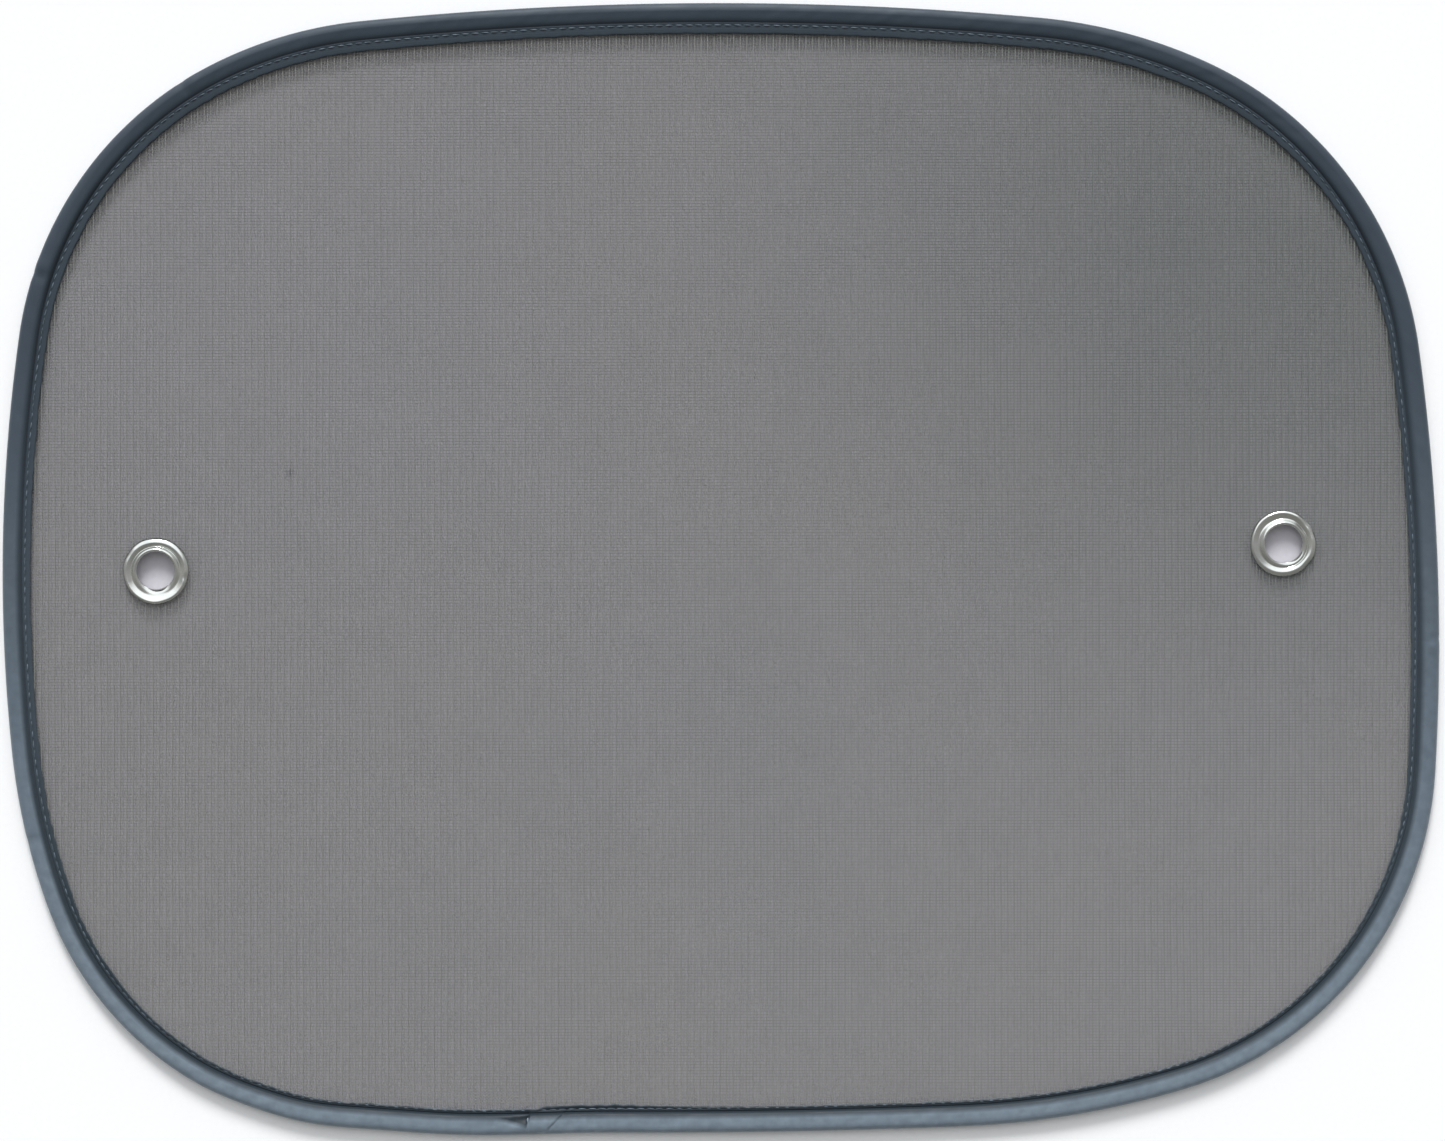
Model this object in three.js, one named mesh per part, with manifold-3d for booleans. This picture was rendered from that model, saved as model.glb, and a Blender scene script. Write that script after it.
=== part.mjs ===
// A car side window sunshade: a mesh panel held taut by a sprung wire hoop inside a sewn edge binding,
// with a pressed metal eyelet near each end. It lies flat with its front up. Millimetres, +Z up, +X to the
// photograph's right, +Y to its top. The origin is the centre of the outline, on the surface it lies on.
import * as THREE from "three";
import { mergeGeometries, mergeVertices } from "three/addons/utils/BufferGeometryUtils.js";
import Module from "manifold-3d";

const wasm = await Module();
wasm.setup();

// The outline, over the binding. It is a closed run of arcs that meet at a tangent: each corner is two
// arcs, and each side one flatter arc whose radius follows from the width, the height and the corners.
const SHADE_WIDTH = 440;
const SHADE_HEIGHT = 346;
// Degrees that the rim has turned since the last flat of the outline, where each corner starts, changes
// radius and ends, and its two radii as shares of the height. They go clockwise: top right, bottom right,
// bottom left, top left.
const CORNERS = [
  { start: 5.2, change: 24.3, end: 82.2, firstShare: 0.457, lastShare: 0.327 },
  { start: 3.4, change: 73.1, end: 87.7, firstShare: 0.312, lastShare: 0.789 },
  { start: 2.1, change: 69.9, end: 84.0, firstShare: 0.298, lastShare: 0.572 },
  { start: 8.0, change: 63.8, end: 84.2, firstShare: 0.318, lastShare: 0.373 },
];
// How far a straight facet may stray from its arc.
const ARC_TOLERANCE = 0.2;

// The hoop: one length of spring wire whose ends meet in a crimped sleeve. The middle of the sleeve lies
// this far past the rightmost point of the rim, clockwise, so a little above it where that is less than 0.
const WIRE_DIAMETER = 2;
const WIRE_FACETS = 6;
const WIRE_END_GAP = 0.6;
const SLEEVE_LENGTH = 14;
const SLEEVE_WALL = 0.3;
const SLEEVE_CLEARANCE = 0.1;
const SLEEVE_FACETS = 24;
const SLEEVE_PAST_RIGHT = -1.5;

// The binding: a woven tape folded round the wire and sewn shut along its hem, with the mesh in the fold.
const TAPE_THICKNESS = 0.45;
const TAPE_EASE = 0.25;
// From the round of the fold to the pinch at the foot of the flank, from there to the middle of the seam,
// and on to the hem's inner edge at the sides. The hem is wider by the lean at the top, and narrower by it
// at the bottom.
const PINCH_PAST_FOLD = 2.1;
const SEAM_PAST_PINCH = 0.9;
const HEM_WIDTH = 1.1;
const HEM_LEAN = 0.4;
// How far the flank and the hem swell between the lines that hold them down.
const FLANK_FULLNESS = 0.4;
const HEM_FULLNESS = 0.15;
// Where the end of the tape laps over its start on the front, from the lowest point of the rim, clockwise.
// The edge of the lap is cut slantwise: it runs ahead by the slant for each millimetre of inset.
const LAP_PAST_LOWEST = 30.4;
const LAP_LENGTH = 4.8;
const LAP_SLANT = -0.75;
const LAP_STEP = 0.3;
const LAP_EDGE = 0.1;

// The seam: a thread pressed into the front of the hem and one into its back, each in a flat groove.
const THREAD_WIDTH = 0.5;
const THREAD_HEIGHT = 0.3;
const THREAD_ROOM = 0.15;

// The mesh: a warp knit with upright ribs. One rib in four stands as a ridge, and between two ridges the
// knit is open in two long gaps, whose break steps up and down from one column to the next.
const MESH_THICKNESS = 0.4;
const MESH_PAST_SEAM = 1.6;
const RIB_PITCH = 2;
const RIBS_PER_RIDGE = 4;
const RIDGE_WIDTH = 1;
const RIDGE_HEIGHT = 0.25;
const GAP_WIDTH = 1;
const GAP_BREAK = 8;
const GAP_BREAK_STEP = 30;
const PATTERN_MARGIN = 0.6;

// The eyelets: a pressed ring whose barrel goes through the mesh and is rolled out over a washer behind
// it. From the hole outward the ring has a raised crest, a shallow groove and a lower shoulder.
const EYELET_HOLE = 11.6;
const EYELET_SHEET = 0.4;
const CREST_WIDTH = 2.3;
const CREST_RISE = 2.2;
// How far the crest dips toward the hole.
const LIP_DROP = 0.6;
// Shares of the crest's width from the hole: where its flat top starts and ends, and where the slope bends.
const CREST_TOP_START = 0.45;
const CREST_TOP_END = 0.65;
const CREST_BEND = 0.85;
const SHOULDER_WIDTH = 2;
const SHOULDER_RISE = 1.2;
const SHOULDER_ROUND = 0.45;
const GROOVE_DEPTH = 0.15;
const BARREL_CLEARANCE = 0.3;
const ROLL_CLEARANCE = 0.1;
const ROLL_OVERLAP = 0.8;
const WASHER_WIDTH = 3.1;
const WASHER_THICKNESS = 0.5;
const WASHER_CHAMFER = 0.25;
const EYELET_FACETS = 24;
// Each eyelet's distance from its end of the shade, and its height above the middle.
const LEFT_EYELET_FROM_EDGE = 47;
const LEFT_EYELET_HEIGHT = -0.8;
const RIGHT_EYELET_FROM_EDGE = 47.7;
const RIGHT_EYELET_HEIGHT = 7.4;

// What follows from those sizes. Insets are measured from the rim, and heights from the mid plane.
const WIRE_RADIUS = WIRE_DIAMETER / 2;
const SLEEVE_BORE_RADIUS = WIRE_RADIUS + SLEEVE_CLEARANCE;
const SLEEVE_RADIUS = SLEEVE_BORE_RADIUS + SLEEVE_WALL;
const FOLD_INNER_RADIUS = SLEEVE_RADIUS + TAPE_EASE;
const FOLD_RADIUS = FOLD_INNER_RADIUS + TAPE_THICKNESS;
const WIRE_INSET = FOLD_RADIUS;
const MID_HEIGHT = FOLD_RADIUS;
const PINCH_INSET = 2 * FOLD_RADIUS + PINCH_PAST_FOLD;
const SEAM_INSET = PINCH_INSET + SEAM_PAST_PINCH;
const GROOVE_HALF = THREAD_WIDTH / 2 + THREAD_ROOM;
const WIDEST_HEM_INSET = SEAM_INSET + HEM_WIDTH + HEM_LEAN;
const HALF_MESH = MESH_THICKNESS / 2;
const HEM_FACE = HALF_MESH + TAPE_THICKNESS;
const HOLE_RADIUS = EYELET_HOLE / 2;
const GROOVE_RADIUS = HOLE_RADIUS + CREST_WIDTH;
const EYELET_RADIUS = GROOVE_RADIUS + SHOULDER_WIDTH;
const PASSAGE_RADIUS = HOLE_RADIUS + EYELET_SHEET + BARREL_CLEARANCE;
const LEFT_EYELET = new THREE.Vector2(-SHADE_WIDTH / 2 + LEFT_EYELET_FROM_EDGE, LEFT_EYELET_HEIGHT);
const RIGHT_EYELET = new THREE.Vector2(SHADE_WIDTH / 2 - RIGHT_EYELET_FROM_EDGE, RIGHT_EYELET_HEIGHT);

const sinDegrees = (degrees) => Math.sin(THREE.MathUtils.degToRad(degrees));
const cosDegrees = (degrees) => Math.cos(THREE.MathUtils.degToRad(degrees));

// The radii of the top, right, bottom and left sides. Each half of the outline, from one flat to the one
// after next, spans the whole width or height, which gives four equations for the four radii.
function sideRadii() {
  const rows = [];
  const spans = [];
  for (let k = 0; k < 4; k += 1) {
    const here = CORNERS[k];
    const last = CORNERS[(k + 3) % 4];
    const row = [0, 0, 0, 0];
    row[k] = sinDegrees(here.start) + cosDegrees(last.end);
    row[(k + 1) % 4] = 1 - sinDegrees(here.end);
    row[(k + 3) % 4] = 1 - cosDegrees(last.start);
    rows.push(...row);
    const forward =
      here.firstShare * (sinDegrees(here.change) - sinDegrees(here.start)) +
      here.lastShare * (sinDegrees(here.end) - sinDegrees(here.change));
    const sideways =
      last.firstShare * (cosDegrees(last.start) - cosDegrees(last.change)) +
      last.lastShare * (cosDegrees(last.change) - cosDegrees(last.end));
    const whole = k % 2 === 0 ? SHADE_WIDTH : SHADE_HEIGHT;
    spans.push(whole - SHADE_HEIGHT * (forward + sideways));
  }
  const solve = new THREE.Matrix4().set(...rows).invert();
  return new THREE.Vector4(...spans).applyMatrix4(solve).toArray();
}

// The arcs of the rim, clockwise from its highest point, each with its centre and the headings it turns
// through. A heading is the angle by which the rim has turned clockwise from the direction of +X.
function rimArcs() {
  const sides = sideRadii();
  const arcs = [];
  CORNERS.forEach((corner, k) => {
    const flat = 90 * k;
    const pieces = [
      [0, corner.start, sides[k]],
      [corner.start, corner.change, SHADE_HEIGHT * corner.firstShare],
      [corner.change, corner.end, SHADE_HEIGHT * corner.lastShare],
      [corner.end, 90, sides[(k + 1) % 4]],
    ];
    pieces.forEach(([from, to, radius]) => arcs.push({ from: flat + from, to: flat + to, radius }));
  });
  // The last four arcs climb the top left quarter, so they say how far the top lies from the left edge.
  const climb = arcs.slice(-4);
  const topFromLeft = climb.reduce(
    (sum, arc) => sum + arc.radius * (sinDegrees(arc.to) - sinDegrees(arc.from)),
    0,
  );
  const at = new THREE.Vector2(topFromLeft - SHADE_WIDTH / 2, SHADE_HEIGHT / 2);
  let travelled = 0;
  arcs.forEach((arc) => {
    arc.centre = new THREE.Vector2(
      at.x - arc.radius * sinDegrees(arc.from),
      at.y - arc.radius * cosDegrees(arc.from),
    );
    arc.startsAt = travelled;
    arc.length = arc.radius * THREE.MathUtils.degToRad(arc.to - arc.from);
    travelled += arc.length;
    at.set(
      arc.centre.x + arc.radius * sinDegrees(arc.to),
      arc.centre.y + arc.radius * cosDegrees(arc.to),
    );
  });
  return arcs;
}

const RIM = rimArcs();
const RIM_LENGTH = RIM.reduce((sum, arc) => sum + arc.length, 0);
const travelToHeading = (heading) => RIM.find((arc) => arc.from === heading).startsAt;

// The place on the rim at a distance travelled clockwise from its highest point: the point, the inward
// normal, the direction of travel and the heading.
function rimAt(distance) {
  const travel = THREE.MathUtils.euclideanModulo(distance, RIM_LENGTH);
  const arc = RIM.findLast((candidate) => candidate.startsAt <= travel);
  const share = (travel - arc.startsAt) / arc.length;
  const heading = THREE.MathUtils.lerp(arc.from, arc.to, share);
  const inward = new THREE.Vector2(-sinDegrees(heading), -cosDegrees(heading));
  const point = arc.centre.clone().addScaledVector(inward, -arc.radius);
  const ahead = new THREE.Vector2(-inward.y, inward.x);
  return { point, inward, ahead, heading };
}

// The distances at which a facet of the rim starts: every flat and change of radius, and enough between
// them to keep to the tolerance.
function rimStops() {
  const stops = [];
  RIM.forEach((arc) => {
    const turn = THREE.MathUtils.radToDeg(2 * Math.acos(1 - ARC_TOLERANCE / arc.radius));
    const count = Math.ceil((arc.to - arc.from) / turn);
    for (let i = 0; i < count; i += 1) stops.push(arc.startsAt + (arc.length * i) / count);
  });
  return stops;
}

const STOPS = rimStops();

// The outline at an even distance inside the rim.
function insetOutline(inset) {
  return STOPS.map((stop) => {
    const place = rimAt(stop);
    return place.point.addScaledVector(place.inward, inset);
  });
}

function circlePoints(centre, radius) {
  const points = [];
  for (let i = 0; i < EYELET_FACETS; i += 1) {
    const angle = (360 * i) / EYELET_FACETS;
    const x = centre.x + radius * cosDegrees(angle);
    const y = centre.y + radius * sinDegrees(angle);
    points.push(new THREE.Vector2(x, y));
  }
  return points;
}

// A section carried round the rim. section(stop) gives its points in order, each [inset, height, distance
// ahead of the stop]. A closed sweep joins its last stop to its first, and an open one is capped.
function sweepRound(stops, section, closed) {
  const rings = stops.map((stop) =>
    section(stop).map(([inset, height, ahead = 0]) => {
      const place = rimAt(stop + ahead);
      const point = place.point.addScaledVector(place.inward, inset);
      return new THREE.Vector3(point.x, point.y, MID_HEIGHT + height);
    }),
  );
  const sides = rings[0].length;
  const faces = [];
  const joined = closed ? rings.length : rings.length - 1;
  for (let i = 0; i < joined; i += 1) {
    const here = i * sides;
    const next = ((i + 1) % rings.length) * sides;
    for (let j = 0; j < sides; j += 1) {
      const k = (j + 1) % sides;
      faces.push(here + j, next + j, next + k, here + j, next + k, here + k);
    }
  }
  if (!closed) {
    const outline = section(stops[0]).map(([inset, height]) => new THREE.Vector2(inset, height));
    const lastRing = (rings.length - 1) * sides;
    THREE.ShapeUtils.triangulateShape(outline, []).forEach(([a, b, c]) => {
      faces.push(a, b, c);
      faces.push(lastRing + a, lastRing + c, lastRing + b);
    });
  }
  const geometry = new THREE.BufferGeometry().setFromPoints(rings.flat());
  geometry.setIndex(faces);
  geometry.computeVertexNormals();
  return geometry;
}

function toSolid(geometry) {
  const bare = geometry.clone();
  bare.deleteAttribute("normal");
  bare.deleteAttribute("uv");
  const merged = mergeVertices(bare);
  const mesh = new wasm.Mesh({
    numProp: 3,
    vertProperties: merged.attributes.position.array,
    triVerts: new Uint32Array(merged.index.array),
  });
  return new wasm.Manifold(mesh);
}

function toGeometry(solid) {
  const mesh = solid.getMesh();
  const geometry = new THREE.BufferGeometry();
  geometry.setAttribute("position", new THREE.BufferAttribute(mesh.vertProperties, 3));
  geometry.setIndex(new THREE.BufferAttribute(mesh.triVerts, 1));
  geometry.computeVertexNormals();
  return geometry;
}

// A flat prism between two heights.
function prism(outline, holes, from, to) {
  const shape = new THREE.Shape(outline);
  holes.forEach((hole) => shape.holes.push(new THREE.Path(hole)));
  const geometry = new THREE.ExtrudeGeometry(shape, { depth: to - from, bevelEnabled: false });
  return geometry.translate(0, 0, MID_HEIGHT + from);
}

// A profile of [radius, height] pairs, turned about an upright axis.
function turned(profile) {
  const points = profile.map(([radius, height]) => new THREE.Vector2(radius, height));
  return new THREE.LatheGeometry(points, EYELET_FACETS).rotateX(Math.PI / 2);
}

// A closed profile of even wall: a path, and back along its offset to the left of its direction.
function walled(path, thickness) {
  const points = path.map(([radius, height]) => new THREE.Vector2(radius, height));
  const offset = points.map((point, i) => {
    const before = points[i - 1] ?? point.clone().multiplyScalar(2).sub(points[i + 1]);
    const after = points[i + 1] ?? point.clone().multiplyScalar(2).sub(before);
    const arriving = point.clone().sub(before).normalize();
    const leaving = after.clone().sub(point).normalize();
    const along = arriving.clone().add(leaving).normalize();
    const reach = thickness / along.dot(arriving);
    return [point.x - along.y * reach, point.y + along.x * reach];
  });
  return [...path, ...offset.reverse(), path[0]];
}

// An arc of the fold round the wire, as [inset, height] pairs: from the front over the rim to the back, or
// the other way where side is -1. Its ends lie inward of the top and bottom of the round.
function foldArc(radius, count, side) {
  const reach = 120;
  const points = [];
  for (let i = 0; i < count; i += 1) {
    const angle = side * THREE.MathUtils.lerp(reach, -reach, i / (count - 1));
    points.push([WIRE_INSET - radius * cosDegrees(angle), radius * sinDegrees(angle)]);
  }
  return points;
}

// The binding's hairpin section, from the hem's inner edge over the front, round the wire, along the back
// and home through the inside of the fold. lift raises the front where the tape lies double, and slant
// puts each point ahead by that much for each millimetre of inset.
function bindingSection(heading, lift, slant) {
  const outerPoints = 9;
  const innerPoints = 7;
  const hem = SEAM_INSET + HEM_WIDTH + HEM_LEAN * cosDegrees(heading);
  const grooveOut = SEAM_INSET - GROOVE_HALF;
  const grooveIn = SEAM_INSET + GROOVE_HALF;
  // The middle of the flank, between the end of an arc of the fold and the pinch.
  const flankFrom = ([inset, height], pinchHeight) => [
    (inset + PINCH_INSET) / 2,
    (height + pinchHeight) / 2 + FLANK_FULLNESS,
  ];
  const mirrored = (points) => points.map(([inset, height]) => [inset, -height]).reverse();
  const fold = foldArc(FOLD_RADIUS, outerPoints, 1);
  const front = [
    [hem, HEM_FACE],
    [(grooveIn + hem) / 2, HEM_FACE + HEM_FULLNESS],
    [grooveIn, HEM_FACE],
    [grooveOut, HEM_FACE],
    [(PINCH_INSET + grooveOut) / 2, HEM_FACE + HEM_FULLNESS],
    [PINCH_INSET, HEM_FACE],
    flankFrom(fold[0], HEM_FACE),
  ];
  const outside = [...front, ...fold, ...mirrored(front)];
  const lifted = outside.map(([inset, height]) => [inset, height > HEM_FACE ? height + lift : height]);
  const innerFold = foldArc(FOLD_INNER_RADIUS, innerPoints, -1);
  const innerFront = [
    flankFrom(innerFold.at(-1), HALF_MESH),
    [PINCH_INSET, HALF_MESH],
    [hem, HALF_MESH],
  ];
  const inside = [...mirrored(innerFront), ...innerFold, ...innerFront];
  return [...lifted, ...inside].map(([inset, height]) => [inset, height, slant * inset]);
}

function edgeBinding() {
  const lapStart = travelToHeading(180) + LAP_PAST_LOWEST;
  const lapEnd = lapStart + LAP_LENGTH;
  const lapRings = [
    { stop: lapStart - LAP_EDGE, lift: 0, slant: LAP_SLANT },
    { stop: lapStart, lift: LAP_STEP, slant: LAP_SLANT },
    { stop: lapEnd, lift: LAP_STEP, slant: 0 },
    { stop: lapEnd + LAP_EDGE, lift: 0, slant: 0 },
  ];
  const lapReach = Math.abs(LAP_SLANT) * WIDEST_HEM_INSET;
  const clear = STOPS.filter((stop) => stop < lapStart - lapReach || stop > lapEnd + LAP_EDGE);
  const plainRings = clear.map((stop) => ({ stop, lift: 0, slant: 0 }));
  const rings = [...plainRings, ...lapRings].sort((a, b) => a.stop - b.stop);
  const ringAt = new Map(rings.map((ring) => [ring.stop, ring]));
  const section = (stop) => {
    const { lift, slant } = ringAt.get(stop);
    return bindingSection(rimAt(stop).heading, lift, slant);
  };
  return sweepRound([...ringAt.keys()], section, true);
}

const SLEEVE_TRAVEL = travelToHeading(90) + SLEEVE_PAST_RIGHT;

function hoopWire() {
  const start = SLEEVE_TRAVEL + WIRE_END_GAP / 2;
  const end = start + RIM_LENGTH - WIRE_END_GAP;
  const onward = STOPS.map((stop) => (stop <= start ? stop + RIM_LENGTH : stop));
  const between = onward.filter((stop) => stop < end).sort((a, b) => a - b);
  const circle = [];
  for (let i = 0; i < WIRE_FACETS; i += 1) {
    const angle = (360 * i) / WIRE_FACETS;
    circle.push([WIRE_INSET + WIRE_RADIUS * cosDegrees(angle), WIRE_RADIUS * sinDegrees(angle)]);
  }
  return sweepRound([start, ...between, end], () => circle, false);
}

function wireSleeve() {
  const ring = new THREE.Shape().absarc(0, 0, SLEEVE_RADIUS, 0, 2 * Math.PI);
  ring.holes.push(new THREE.Path().absarc(0, 0, SLEEVE_BORE_RADIUS, 0, 2 * Math.PI));
  const settings = { depth: SLEEVE_LENGTH, bevelEnabled: false, curveSegments: SLEEVE_FACETS / 2 };
  return new THREE.ExtrudeGeometry(ring, settings).translate(0, 0, -SLEEVE_LENGTH / 2);
}

// A flattened thread along the front of the hem, or along its back where side is -1.
function seamThread(side) {
  const near = SEAM_INSET - THREAD_WIDTH / 2;
  const far = SEAM_INSET + THREAD_WIDTH / 2;
  const section = [
    [near, HEM_FACE],
    [far, HEM_FACE],
    [far, HEM_FACE + THREAD_HEIGHT],
    [near, HEM_FACE + THREAD_HEIGHT],
  ];
  const turnedOver = section.map(([inset, height]) => [inset, -height]).reverse();
  return sweepRound(STOPS, () => (side > 0 ? section : turnedOver), true);
}

// Upright bars at an even pitch across the shade. stretches(i) gives each [low, high] of bar i.
function uprights(count, pitch, width, from, to, stretches) {
  const boxes = [];
  for (let i = 0; i < count; i += 1) {
    const x = (i - (count - 1) / 2) * pitch;
    stretches(i).forEach(([low, high]) => {
      const box = new THREE.BoxGeometry(width, high - low, to - from);
      boxes.push(box.translate(x, (low + high) / 2, MID_HEIGHT + (from + to) / 2));
    });
  }
  return toSolid(mergeGeometries(boxes));
}

function meshPanel() {
  const eyelets = [LEFT_EYELET, RIGHT_EYELET];
  const passages = eyelets.map((centre) => circlePoints(centre, PASSAGE_RADIUS));
  const outline = insetOutline(SEAM_INSET - MESH_PAST_SEAM);
  const sheet = toSolid(prism(outline, passages, -HALF_MESH, HALF_MESH));

  // The ridges and gaps keep to a field that is clear of the hem and of the eyelets.
  const fieldInset = WIDEST_HEM_INSET + PATTERN_MARGIN;
  const around = eyelets.map((centre) => circlePoints(centre, EYELET_RADIUS + PATTERN_MARGIN));
  const ridgeTop = HALF_MESH + RIDGE_HEIGHT;
  const field = toSolid(prism(insetOutline(fieldInset), around, -2 * MESH_THICKNESS, 2 * ridgeTop));

  const pitch = RIB_PITCH * RIBS_PER_RIDGE;
  const columns = Math.floor((SHADE_WIDTH - 2 * fieldInset) / pitch);
  const end = SHADE_HEIGHT / 2;
  const ridges = uprights(columns + 1, pitch, RIDGE_WIDTH, 0, ridgeTop, () => [[-end, end]]);
  const gaps = uprights(columns, pitch, GAP_WIDTH, -MESH_THICKNESS, MESH_THICKNESS, (i) => {
    const middle = i % 2 === 0 ? GAP_BREAK_STEP / 2 : -GAP_BREAK_STEP / 2;
    return [
      [-end, middle - GAP_BREAK / 2],
      [middle + GAP_BREAK / 2, end],
    ];
  });
  return toGeometry(sheet.subtract(gaps.intersect(field)).add(ridges.intersect(field)));
}

// The pressed ring, as the path of its visible face: up the outer edge, over the shoulder, down into the
// groove, over the crest round the hole, down the barrel and out along the roll at the back.
function eyelet() {
  const shoulder = HALF_MESH + SHOULDER_RISE;
  const crest = HALF_MESH + CREST_RISE;
  const roll = -(HALF_MESH + WASHER_THICKNESS + ROLL_CLEARANCE + EYELET_SHEET);
  const crestAt = (share) => HOLE_RADIUS + CREST_WIDTH * share;
  const path = [
    [EYELET_RADIUS, HALF_MESH],
    [EYELET_RADIUS, shoulder - 2 * SHOULDER_ROUND],
    [EYELET_RADIUS - SHOULDER_ROUND, shoulder - SHOULDER_ROUND / 2],
    [GROOVE_RADIUS + SHOULDER_WIDTH / 2, shoulder],
    [GROOVE_RADIUS, shoulder - GROOVE_DEPTH],
    [crestAt(CREST_BEND), (shoulder + crest) / 2],
    [crestAt(CREST_TOP_END), crest],
    [crestAt(CREST_TOP_START), crest],
    [HOLE_RADIUS, crest - LIP_DROP],
    [HOLE_RADIUS, roll + EYELET_SHEET],
    [HOLE_RADIUS + EYELET_SHEET, roll],
    [PASSAGE_RADIUS + ROLL_OVERLAP, roll],
  ];
  return turned(walled(path, EYELET_SHEET));
}

function washer() {
  const outer = PASSAGE_RADIUS + WASHER_WIDTH;
  const back = -HALF_MESH - WASHER_THICKNESS;
  return turned([
    [PASSAGE_RADIUS, back],
    [outer - WASHER_CHAMFER, back],
    [outer, back + WASHER_CHAMFER],
    [outer, -HALF_MESH],
    [PASSAGE_RADIUS, -HALF_MESH],
    [PASSAGE_RADIUS, back],
  ]);
}

const knit = new THREE.MeshStandardMaterial({ color: 0x6f7676, roughness: 0.85, metalness: 0 });
const tape = new THREE.MeshStandardMaterial({ color: 0x4b5a69, roughness: 0.7, metalness: 0 });
const thread = new THREE.MeshStandardMaterial({ color: 0x26323d, roughness: 0.6, metalness: 0 });
const springSteel = new THREE.MeshStandardMaterial({ color: 0x8c9094, roughness: 0.35, metalness: 1 });
const plating = new THREE.MeshStandardMaterial({ color: 0xd9dcd8, roughness: 0.15, metalness: 1 });

const shade = new THREE.Group();

function addPiece(name, geometry, material) {
  const mesh = new THREE.Mesh(geometry, material);
  mesh.name = name;
  shade.add(mesh);
  return mesh;
}

addPiece("mesh_panel", meshPanel(), knit);
addPiece("edge_binding", edgeBinding(), tape);
addPiece("seam_thread_front", seamThread(1), thread);
addPiece("seam_thread_back", seamThread(-1), thread);
addPiece("hoop_wire", hoopWire(), springSteel);

const joint = rimAt(SLEEVE_TRAVEL);
const wireEnds = joint.point.clone().addScaledVector(joint.inward, WIRE_INSET);
const beyond = wireEnds.clone().add(joint.ahead);
const sleeve = addPiece("wire_sleeve", wireSleeve(), springSteel);
sleeve.position.set(wireEnds.x, wireEnds.y, MID_HEIGHT);
sleeve.lookAt(beyond.x, beyond.y, MID_HEIGHT);

[
  ["left", LEFT_EYELET],
  ["right", RIGHT_EYELET],
].forEach(([side, centre]) => {
  const ring = addPiece(`${side}_eyelet`, eyelet(), plating);
  ring.position.set(centre.x, centre.y, MID_HEIGHT);
  const backing = addPiece(`${side}_washer`, washer(), plating);
  backing.position.set(centre.x, centre.y, MID_HEIGHT);
});

export default shade;
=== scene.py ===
# %% [markdown]
# # A mesh sunshade for a car's side window
#
# The shade lies flat with its front up. A steel wire hoop inside a folded tape keeps a knitted mesh
# taut, and a pressed metal eyelet near each end takes the stud of a suction cup. The CAD frame has
# the sizes. This lesson adds what makes it look real: yarns that can be seen through, a sewn and
# creased tape, stitches and bright plating.

# %% Load the frame
import math

import bpy
import numpy as np
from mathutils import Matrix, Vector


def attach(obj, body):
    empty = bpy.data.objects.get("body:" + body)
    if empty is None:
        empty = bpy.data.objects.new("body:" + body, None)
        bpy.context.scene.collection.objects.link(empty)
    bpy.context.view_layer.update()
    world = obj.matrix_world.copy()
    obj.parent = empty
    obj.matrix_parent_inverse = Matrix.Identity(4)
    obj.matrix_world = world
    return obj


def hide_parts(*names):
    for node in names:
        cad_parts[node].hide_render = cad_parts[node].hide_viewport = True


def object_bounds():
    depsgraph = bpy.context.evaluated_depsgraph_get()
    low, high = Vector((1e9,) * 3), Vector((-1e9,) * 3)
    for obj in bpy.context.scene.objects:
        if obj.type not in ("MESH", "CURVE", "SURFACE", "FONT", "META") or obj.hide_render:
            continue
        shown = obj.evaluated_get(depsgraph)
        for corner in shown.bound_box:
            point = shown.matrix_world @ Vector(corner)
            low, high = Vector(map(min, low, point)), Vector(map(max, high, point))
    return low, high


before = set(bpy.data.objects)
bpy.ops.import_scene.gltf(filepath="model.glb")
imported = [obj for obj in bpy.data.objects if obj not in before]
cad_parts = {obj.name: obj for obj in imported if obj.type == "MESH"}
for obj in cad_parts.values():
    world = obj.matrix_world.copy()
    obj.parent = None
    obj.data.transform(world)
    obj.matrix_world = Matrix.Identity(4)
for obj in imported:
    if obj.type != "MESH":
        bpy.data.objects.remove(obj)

MM = 0.001
cad_low, cad_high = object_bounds()
size_mm = [round((high - low) / MM, 1) for low, high in zip(cad_low, cad_high)]
print("CAD box, mm:", size_mm)

# %% [markdown]
# ## The rim
#
# Tape, stitches and mesh all follow the rim, so it is worked out once, with the CAD's own numbers.
# The rim is a closed run of arcs that meet at a tangent: two for each corner, and one flatter arc
# for each side. The radii of the sides follow from the width, the height and the corners.

# %% The rim's arcs
WIDTH, HEIGHT = 440.0, 346.0
CORNERS = [  # where the corner starts, changes radius and ends, in degrees, and its radii by height
    (5.2, 24.3, 82.2, 0.457, 0.327),
    (3.4, 73.1, 87.7, 0.312, 0.789),
    (2.1, 69.9, 84.0, 0.298, 0.572),
    (8.0, 63.8, 84.2, 0.318, 0.373),
]


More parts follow.
